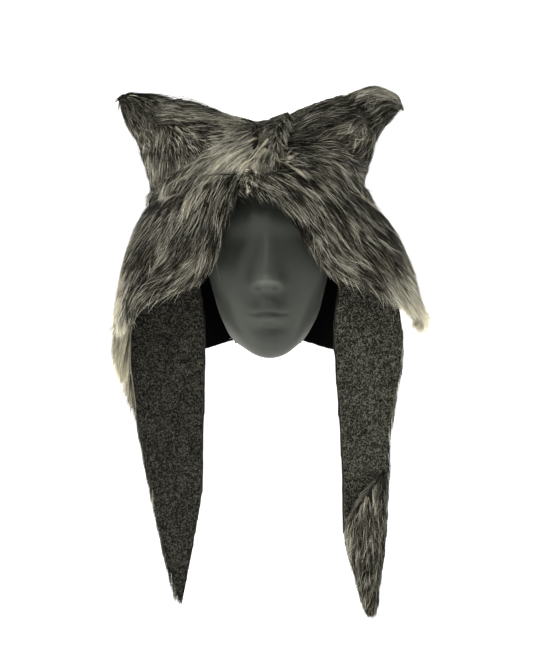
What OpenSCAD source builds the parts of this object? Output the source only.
// Fur hood with two pointed ears and two long tails, on a display head.
// The face looks along -Y, +Z is up, and right and left are the wearer's: right is -X.
// The origin is the mouth of the pole socket, in the middle of the head's base plate.

/* [Display head] */
// Width of the head at the temples
head_w = 152; // [146:1:156]
// Height from the base plate to the top of the head
head_h = 211; // [206:1:214]
// Wall of the moulded head
head_wall = 4; // [3:0.5:6]
// Radius of the stand's pole, which is the socket's bore
pole_r = 12.5; // [8:0.5:14]
// Depth of the pole socket
socket_depth = 92; // [60:1:110]

/* [Hood] */
// How far the whole hood is stretched sideways
hood_stretch = 1; // [0.98:0.01:1.05]
// Share of a fur panel's thickness that is skin and pile, the rest is air and lining
pile_share = 0.8; // [0.6:0.01:0.84]

/* [Tails] */
// Length of each tail below its fold line
tail_drop = 248; // [200:1:300]
// Clear slot at the fold line, where the tail swings
fold_slot = 8; // [8:0.5:12]

/* [Hidden] */
fur = "#5b554c";
dark_fur = "#4a463f";
wool = "#3b3d38";
black = "#101312";
grey = "#50544f";
steel = "#a9adb0";

// ---- Splines and sheets -------------------------------------------------------------------------

function mix(a, b, t) = a + (b - a) * t;
function unit(v) = v / max(norm(v), 1e-6);
function xyz(p) = [p[0], p[1], p[2]];
function pick(list, i) = list[max(0, min(len(list) - 1, i))];

// A point of the Catmull-Rom curve through the points p, with t from 0 to len(p) - 1.
function spline(p, t) =
    let (i = min(floor(t), len(p) - 2), f = t - i,
         a = pick(p, i - 1), b = p[i], c = p[i + 1], d = pick(p, i + 2))
    0.5 * (2 * b + (c - a) * f + (2 * a - 5 * b + 4 * c - d) * f * f
           + (3 * b - a - 3 * c + d) * f * f * f);

// A grid of points through a net of [x, y, z, thickness], between columns ua and ub.
function patch(net, rows, columns, ua, ub) =
    [for (j = [0 : rows])
        let (t = j / rows * (len(net) - 1),
             row = [for (k = [0 : len(net[0]) - 1]) spline([for (r = net) r[k]], t)])
        [for (i = [0 : columns]) spline(row, mix(ua, ub, i / columns))]];

function whole(net, rows, columns) = patch(net, rows, columns, 0, len(net[0]) - 1);

function normal_at(g, j, i) =
    unit(cross(xyz(pick(g[j], i + 1)) - xyz(pick(g[j], i - 1)),
               xyz(pick(g, j + 1)[i]) - xyz(pick(g, j - 1)[i])));

// The same grid moved through the fabric by a share of its thickness. side is 1 or -1.
// Rows and columns on a seam move in the seam's own plane, so that two panels meet along it.
function through(g, share, side, seam_row = -1, seam_columns = []) =
    [for (j = [0 : len(g) - 1])
        [for (i = [0 : len(g[0]) - 1])
            let (n = normal_at(g, j, i),
                 on_seam = j == seam_row || len(search(i, seam_columns)) > 0,
                 way = on_seam ? unit([n[0], 0, n[2]]) : n)
            xyz(g[j][i]) + side * share * g[j][i][3] * way]];

function between(front, back, share) =
    [for (j = [0 : len(front) - 1])
        [for (i = [0 : len(front[0]) - 1]) mix(xyz(front[j][i]), xyz(back[j][i]), share)]];

function sum(list, i = 0) = i == len(list) ? 0 : list[i] + sum(list, i + 1);
function quad(a, b, c, d) = [[a, b, c], [a, c, d]];

// The closed solid between two grids of the same size.
module sheet(front, back) {
    rows = len(front);
    columns = len(front[0]);
    n = rows * columns;
    points = concat([for (r = front) each r], [for (r = back) each r]);
    faces = [
        for (j = [0 : rows - 2], i = [0 : columns - 2])
            let (a = j * columns + i)
            each concat(quad(a, a + 1, a + columns + 1, a + columns),
                        quad(n + a, n + a + columns, n + a + columns + 1, n + a + 1)),
        for (i = [0 : columns - 2])
            let (a = i, b = n - columns + i)
            each concat(quad(a, n + a, n + a + 1, a + 1),
                        quad(b, b + 1, n + b + 1, n + b)),
        for (j = [0 : rows - 2])
            let (a = j * columns, b = a + columns - 1)
            each concat(quad(a, a + columns, n + a + columns, n + a),
                        quad(b, n + b, n + b + columns, b + columns))];
    volume = sum([for (f = faces) points[f[0]] * cross(points[f[1]], points[f[2]])]);
    polyhedron(points, volume < 0 ? faces : [for (f = faces) [f[0], f[2], f[1]]]);
}

// One layer of a fabric panel, from share a to share b of the way from its face to its back.
module layer(front, back, a, b) {
    sheet(between(front, back, a), between(front, back, b));
}

// ---- Display head -------------------------------------------------------------------------------

plate_r = 36;
plate_t = 3;
screw_circle_r = 30;
screw_r = 2;
socket_wall = 3;

module egg(at, radii) {
    translate(at) scale(radii) sphere(r = 1, $fn = 28);
}

// The head's outer shape, or its inside when inset is the wall.
module head_shape(inset) {
    w = head_w / 2;
    hull() {
        egg([0, 4, head_h - 83], [w - inset, 94 - inset, 83 - inset]);
        egg([0, -52, 128], [58 - inset, 42 - inset, 40 - inset]);
        for (s = [-1, 1]) {
            egg([s * 36, -50, 82], [28 - inset, 32 - inset, 26 - inset]);
            egg([s * 31, -38, 40], [20 - inset, 28 - inset, 22 - inset]);
        }
        egg([0, -70, 40], [26 - inset, 28 - inset, 24 - inset]);
        egg([0, -66, 8], [25 - inset, 23 - inset, 22 - inset]);
        translate([0, 0, plate_t + inset]) cylinder(r = 40 - inset, h = 2, $fn = 40);
    }
}

module nose() {
    hull() {
        egg([0, -90, 116], [7, 7, 8]);
        egg([0, -104, 71], [9, 10, 9]);
        for (s = [-1, 1]) egg([s * 10, -95, 65], [7, 8, 7]);
        egg([0, -86, 62], [9, 6, 8]);
    }
}

module at_screws() {
    for (a = [45 : 90 : 315]) rotate(a) translate([screw_circle_r, 0, 0]) children();
}

module head_form() color(grey) difference() {
    union() {
        head_shape(0);
        nose();
    }
    head_shape(head_wall);
    translate([0, 0, -1]) cylinder(r = 24, h = 12, $fn = 64);
    translate([0, 0, -20]) cylinder(r = plate_r + 0.4, h = 20 + plate_t, $fn = 64);
    at_screws() cylinder(r = screw_r + 0.1, h = 14, $fn = 24);
}

module base_plate() color(grey) difference() {
    cylinder(r = plate_r, h = plate_t - 0.1, $fn = 96);
    translate([0, 0, -1]) cylinder(r = pole_r + socket_wall + 0.1, h = 6, $fn = 64);
    at_screws() translate([0, 0, -1]) cylinder(r = screw_r + 0.2, h = 6, $fn = 24);
}

module pole_socket() color(steel) difference() {
    union() {
        cylinder(r = pole_r + socket_wall, h = socket_depth + 3, $fn = 96);
        translate([0, 0, plate_t]) cylinder(r = 22, h = 3, $fn = 96);
    }
    translate([0, 0, -1]) cylinder(r = pole_r, h = socket_depth + 1, $fn = 96);
}

module base_screws() color(steel) at_screws() {
    translate([0, 0, -2]) cylinder(r = screw_r * 1.9, h = 2, $fn = 32);
    translate([0, 0, -0.5]) cylinder(r = screw_r, h = 7, $fn = 32);
}

// ---- Hood ---------------------------------------------------------------------------------------
// Each net lists points of a panel's outer face as [x, y, z, thickness].

seam_gap = 1.2;

// The ridge is the top seam, from the right ear's fold line to the left one's.
ridge = [[-98, 269, 5], [-69, 259, 9], [-38, 244, 12], [-4, 239, 13], [27, 251, 12], [54, 263, 9], [79, 273, 5]];
function ridge_row(y) = [for (p = ridge) [p[0], y, p[1], p[2]]];

crown_front_net = [
    ridge_row(-seam_gap),
    [[-123, -14, 242.5, 5], [-86, -38, 238.5, 11], [-45, -48, 230.5, 14], [-4, -50, 227.5, 15],
     [35, -48, 232.5, 14], [69, -38, 240.5, 11], [99, -14, 246.5, 5]],
    [[-141, -4, 211, 5], [-106, -48, 209.5, 13], [-56, -78, 205.5, 15], [-4, -84, 203, 15],
     [48, -78, 206.5, 15], [86, -48, 211.5, 13], [115, -4, 215, 5]],
    [[-125, -2, 172.5, 9], [-107, -56, 166, 14], [-62, -90, 166.5, 15], [-4, -101, 171, 15],
     [54, -90, 167.5, 15], [87, -56, 168, 14], [101, -2, 172.5, 9]]];

crown_back_net = [
    ridge_row(seam_gap),
    [[-132, 12, 229, 5], [-99, 42, 229, 12], [-54, 66, 227, 15], [-4, 74, 224.5, 15],
     [46, 66, 229, 15], [79, 42, 233, 10], [110, 12, 234, 4]],
    [[-125, 6, 173, 10], [-116, 62, 171.5, 15], [-70, 104, 170.5, 15], [-4, 120, 169.5, 15],
     [62, 104, 170.5, 15], [95, 62, 171.5, 15], [101, 6, 173, 10]],
    [[-114, -32, 110, 11], [-117, 54, 108, 15], [-72, 107, 106, 15], [-4, 123, 105, 15],
     [66, 107, 106, 15], [105, 54, 108, 15], [104, -32, 110, 11]],
    [[-112, -34, 50, 11], [-114, 44, 48, 15], [-72, 102, 46, 15], [-4, 120, 48, 15],
     [68, 102, 46, 15], [107, 44, 48, 15], [105, -34, 50, 11]],
    [[-104, -33, -14, 10], [-109, 34, -14, 13], [-71, 94, -8, 13], [-4, 116, 10, 13],
     [67, 94, -7, 13], [103, 34, -14, 13], [100, -33, -14, 10]]];

function stretched(net) = [for (row = net) [for (p = row) [p[0] * hood_stretch, p[1], p[2], p[3]]]];

// One half or the whole of a crown panel, as [face, back].
function crown(net, rows, columns, ua, ub, side, seams) =
    let (g = patch(stretched(net), rows, columns, ua, ub)) [g, through(g, 1, side, 0, seams)];

module crown_fur(net, rows, ua, ub, side, seams) {
    c = crown(net, rows, 8, ua, ub, side, seams);
    layer(c[0], c[1], 0, pile_share);
}

module crown_front_right() color(dark_fur) crown_fur(crown_front_net, 9, 0, 2.96, 1, [0]);
module crown_front_left() color(dark_fur) crown_fur(crown_front_net, 9, 3.04, 6, 1, [8]);
module crown_back_right() color(fur) crown_fur(crown_back_net, 12, 0, 2.97, -1, [0]);
module crown_back_left() color(fur) crown_fur(crown_back_net, 12, 3.03, 6, -1, [8]);

module lining(net, rows, side) {
    c = crown(net, rows, 16, 0, 6, side, [0, 16]);
    layer(c[0], c[1], pile_share + 0.06, 1);
}

module lining_front() color(black) lining(crown_front_net, 9, 1);
module lining_back() color(black) lining(crown_back_net, 12, -1);

// The strap runs from the ridge down the middle of the front, and ends in the knot.
strap_net = [
    [[1, -24, 242, 3], [12, -24, 246, 3], [23, -24, 250, 3]],
    [[-1, -60, 234, 6], [10, -60, 237, 6], [21, -58, 240, 6]],
    [[-3, -97, 209, 6], [6, -97, 210, 6], [15, -95, 211, 6]],
    [[-4, -113, 185, 6], [2, -113, 185, 6], [8, -112, 186, 6]]];

module centre_strap() color(fur) {
    g = whole(strap_net, 7, 3);
    sheet(between(g, g, 0), through(g, 1, 1));
}

module front_knot() color(fur) hull() {
    egg([-18.5, -117, 177], [5.5, 6, 6]);
    egg([-20, -116, 169.5], [5, 6, 7]);
}

module knot_stitches() color(black)
    for (x = [-26 : 5 : -16]) translate([x, -106, 158]) rotate([70, 20, 0]) cylinder(r = 0.7, h = 9, $fn = 16);

// The swags are the rolled upper edges of the wings, sewn to the crown.
right_swag_net = [
    [[-10, -64, 237, 7], [-44, -87, 215, 9], [-86, -93, 187, 9], [-127, -41, 159, 7]],
    [[-11, -100, 209, 9], [-44, -103, 197, 10], [-85, -95, 178, 10], [-127, -40, 155, 7]],
    [[-16, -119, 190, 8], [-44, -113, 181, 9], [-84, -97, 170, 9], [-127, -42, 152, 7]]];

left_swag_net = [
    [[21, -98, 207, 8], [44, -103, 201, 9], [73, -94, 188, 9], [105, -40, 165, 7]],
    [[18, -110, 196, 9], [42, -111, 192, 10], [74, -98, 181, 10], [108, -42, 160, 7]],
    [[15, -118, 189, 8], [41, -116, 184, 9], [74, -100, 176, 9], [110, -44, 157, 7]]];

module swag(net, side) {
    g = whole(stretched(net), 4, 9);
    sheet(between(g, g, 0), through(g, 1, side));
}

module right_swag() color(fur) swag(right_swag_net, -1);
module left_swag() color(fur) swag(left_swag_net, 1);

// ---- Ears ---------------------------------------------------------------------------------------
// An ear's net runs from its fold line to its tip. The thickness is half of the pouch's depth.

right_ear_net = [
    [[-101, 0, 269.5, 3], [-119, 0, 260, 13], [-134, 0, 243.5, 13], [-149, 0, 221.5, 3]],
    [[-120, 0, 273, 3], [-132, 0, 263, 11], [-144, 0, 250.5, 11], [-154, 0, 237, 3]],
    [[-141, 0, 272.5, 2.5], [-148, 0, 266, 7], [-154, 0, 259, 7], [-160, 0, 250.5, 2.5]],
    [[-159, 0, 271, 2], [-162, 0, 269, 3], [-164, 0, 266.5, 3], [-165, 0, 264, 2]]];

left_ear_net = [
    [[84, 0, 275, 3], [100, 0, 264, 13], [112, 0, 247.5, 13], [123, 0, 225, 3]],
    [[101, 0, 278.5, 3], [114, 0, 267, 11], [124, 0, 253.5, 11], [131, 0, 239, 3]],
    [[120, 0, 276.5, 2.5], [127, 0, 269, 7], [133, 0, 260, 7], [139, 0, 250.5, 2.5]],
    [[139, 0, 269, 2], [142, 0, 266, 3], [144, 0, 263, 3], [144, 0, 259, 2]]];

function pouch(net, way) =
    [for (row = whole(stretched(net), 6, 6)) [for (p = row) [p[0], way * p[3], p[2]]]];

module ear_layer(net, a, b) layer(pouch(net, -1), pouch(net, 1), a, b);

module right_ear_front() color(dark_fur) ear_layer(right_ear_net, 0, 0.4);
module right_ear_stiffener() color(black) ear_layer(right_ear_net, 0.43, 0.57);
module right_ear_back() color(fur) ear_layer(right_ear_net, 0.6, 1);
module left_ear_front() color(dark_fur) ear_layer(left_ear_net, 0, 0.4);
module left_ear_stiffener() color(black) ear_layer(left_ear_net, 0.43, 0.57);
module left_ear_back() color(fur) ear_layer(left_ear_net, 0.6, 1);

// ---- Wings --------------------------------------------------------------------------------------
// The wings hang from the swags like curtains, on either side of the face.

right_wing_net = [
    [[-29, -119, 181, 4], [-47, -113, 174, 9], [-76, -101, 165, 11], [-104, -76, 155, 12], [-124, -50, 147, 9], [-133, -36, 141, 6]],
    [[-29.5, -120, 174, 4], [-46, -118, 159, 10], [-74, -108, 141, 13], [-107, -88, 129, 13], [-135, -66, 118, 12], [-146, -48, 104, 7]],
    [[-30, -120, 167, 4], [-45, -118, 142, 10], [-70, -110, 110, 13], [-106, -97, 94, 13], [-141, -80, 80, 12], [-156, -64, 66, 7]],
    [[-30.5, -119, 160, 4], [-45, -115, 123, 8], [-62, -105, 75, 9], [-97, -99, 59, 9], [-136, -90, 42, 9], [-162, -76, 28, 5]]];

left_wing_net = [
    [[-4, -119, 180, 6], [30, -117, 179, 9], [64, -105, 170, 11], [92, -80, 159, 12], [110, -54, 150, 9], [117, -38, 143, 6]],
    [[-7, -120, 174, 6], [30, -120, 168, 10], [66, -110, 148, 13], [100, -88, 133, 13], [129, -66, 121, 12], [137, -48, 110, 7]],
    [[-10, -120, 168, 6], [29, -120, 150, 10], [63, -112, 114, 13], [102, -98, 97, 13], [142, -79, 82, 12], [153, -64, 70, 7]],
    [[-12, -119, 161, 5], [27, -117, 131, 8], [55, -108, 83, 9], [98, -100, 66, 9], [140, -89, 45, 9], [166, -77, 26, 5]]];

module wing(net, side, a, b) {
    g = whole(stretched(net), 8, 13);
    layer(g, through(g, 1, side), a, b);
}

module right_wing_fur() color(fur) wing(right_wing_net, -1, 0, pile_share);
module right_wing_lining() color(black) wing(right_wing_net, -1, pile_share + 0.06, 1);
module left_wing_fur() color(fur) wing(left_wing_net, 1, 0, pile_share);
module left_wing_lining() color(black) wing(left_wing_net, 1, pile_share + 0.06, 1);

// ---- Tails --------------------------------------------------------------------------------------
// A tail has a wool face and a fur back. Its root is sewn inside the hood, behind the wing.

fold_z = -24;
tail_t = 10;

function drop(share) = fold_z - fold_slot / 2 - share * tail_drop;

right_root_net = [
    [[-80, -64, 92, tail_t], [-102, -58, 92, tail_t], [-124, -52, 92, tail_t]],
    [[-72, -66, 50, tail_t], [-104, -58, 48, tail_t], [-138, -50, 46, tail_t]],
    [[-68, -67, 14, tail_t], [-106, -58, 12, tail_t], [-147, -49, 10, tail_t]],
    [[-68.5, -67, fold_z + fold_slot / 2, tail_t], [-106, -57.5, fold_z + fold_slot / 2, tail_t],
     [-147, -48, fold_z + fold_slot / 2, tail_t]]];

right_tail_net = [
    [[-68.5, -67, drop(0), tail_t], [-106, -57.5, drop(0), tail_t], [-147, -48, drop(0), tail_t]],
    [[-70, -67, drop(0.25), tail_t], [-104, -58, drop(0.25), tail_t], [-138, -48, drop(0.25), tail_t]],
    [[-72, -67, drop(0.52), tail_t], [-99, -59, drop(0.52), tail_t], [-125, -50, drop(0.52), tail_t]],
    [[-82, -66, drop(0.77), 7], [-97, -60, drop(0.77), 9], [-111, -54, drop(0.77), 7]],
    [[-91, -60, drop(1), 3], [-93, -60, drop(1), 4], [-95, -60, drop(1), 3]]];

left_root_net = [
    [[82, -64, 96, tail_t], [103, -58, 96, tail_t], [124, -52, 96, tail_t]],
    [[75, -66, 54, tail_t], [106, -58, 52, tail_t], [137, -50, 50, tail_t]],
    [[71, -67, 14, tail_t], [108, -58, 12, tail_t], [145, -49, 10, tail_t]],
    [[73.5, -67, fold_z + fold_slot / 2, tail_t], [106, -57.5, fold_z + fold_slot / 2, tail_t],
     [142, -48, fold_z + fold_slot / 2, tail_t]]];

left_tail_net = [
    [[73.5, -67, drop(0), tail_t], [106, -57.5, drop(0), tail_t], [142, -48, drop(0), tail_t]],
    [[78.5, -67, drop(0.25), tail_t], [104, -58, drop(0.25), tail_t], [130, -48, drop(0.25), tail_t]],
    [[81, -67, drop(0.45), tail_t], [104, -58, drop(0.45), tail_t], [128, -48, drop(0.45), tail_t]],
    [[83, -67, drop(0.72), tail_t], [105, -59, drop(0.72), tail_t], [126, -50, drop(0.72), tail_t]],
    [[96, -64, drop(0.91), 7], [107, -60, drop(0.91), 8], [118, -56, drop(0.91), 7]],
    [[109, -60, drop(1.06), 4], [111, -60, drop(1.06), 5], [113, -60, drop(1.06), 4]]];

module tail_layer(net, rows, side, a, b) {
    g = whole(stretched(net), rows, 4);
    layer(g, through(g, 1, side), a, b);
}

wool_share = 0.28;
wool_gap = 0.05;

module right_tail_root_wool() color(wool) tail_layer(right_root_net, 6, -1, 0, wool_share);
module right_tail_root_fur() color(fur) tail_layer(right_root_net, 6, -1, wool_share + wool_gap, 1);
module left_tail_root_wool() color(wool) tail_layer(left_root_net, 6, 1, 0, wool_share);
module left_tail_root_fur() color(fur) tail_layer(left_root_net, 6, 1, wool_share + wool_gap, 1);
module right_tail_wool() color(wool) tail_layer(right_tail_net, 12, -1, 0, wool_share);
module right_tail_fur() color(fur) tail_layer(right_tail_net, 12, -1, wool_share + wool_gap, 1);
module left_tail_wool() color(wool) tail_layer(left_tail_net, 12, 1, 0, wool_share);
module left_tail_fur() color(fur) tail_layer(left_tail_net, 12, 1, wool_share + wool_gap, 1);

// Near its tip the left tail is turned, and its fur side comes round to the front.
tip_wrap_net = [
    [[123, -59, drop(0.44), 3], [125, -58, drop(0.47), 3], [127, -57, drop(0.5), 3]],
    [[102, -68, drop(0.54), 7], [114, -66, drop(0.6), 8], [127, -58, drop(0.64), 4]],
    [[84, -76, drop(0.68), 4], [104, -74, drop(0.76), 8], [125, -62, drop(0.8), 4]],
    [[94, -72, drop(0.88), 3], [105, -74, drop(0.9), 7], [119, -64, drop(0.92), 4]],
    [[107, -66, drop(1.03), 2], [110.5, -67, drop(1.04), 3], [114, -65, drop(1.04), 2]]];

module left_tail_tip_wrap() color(fur) {
    g = whole(stretched(tip_wrap_net), 8, 4);
    sheet(between(g, g, 0), through(g, 1, 1));
}

head_form();
base_plate();
pole_socket();
base_screws();
crown_front_right();
crown_front_left();
crown_back_right();
crown_back_left();
lining_front();
lining_back();
centre_strap();
front_knot();
knot_stitches();
right_swag();
left_swag();
right_ear_front();
right_ear_back();
right_ear_stiffener();
left_ear_front();
left_ear_back();
left_ear_stiffener();
right_wing_fur();
right_wing_lining();
left_wing_fur();
left_wing_lining();
right_tail_root_wool();
right_tail_root_fur();
left_tail_root_wool();
left_tail_root_fur();
right_tail_wool();
right_tail_fur();
left_tail_wool();
left_tail_fur();
left_tail_tip_wrap();
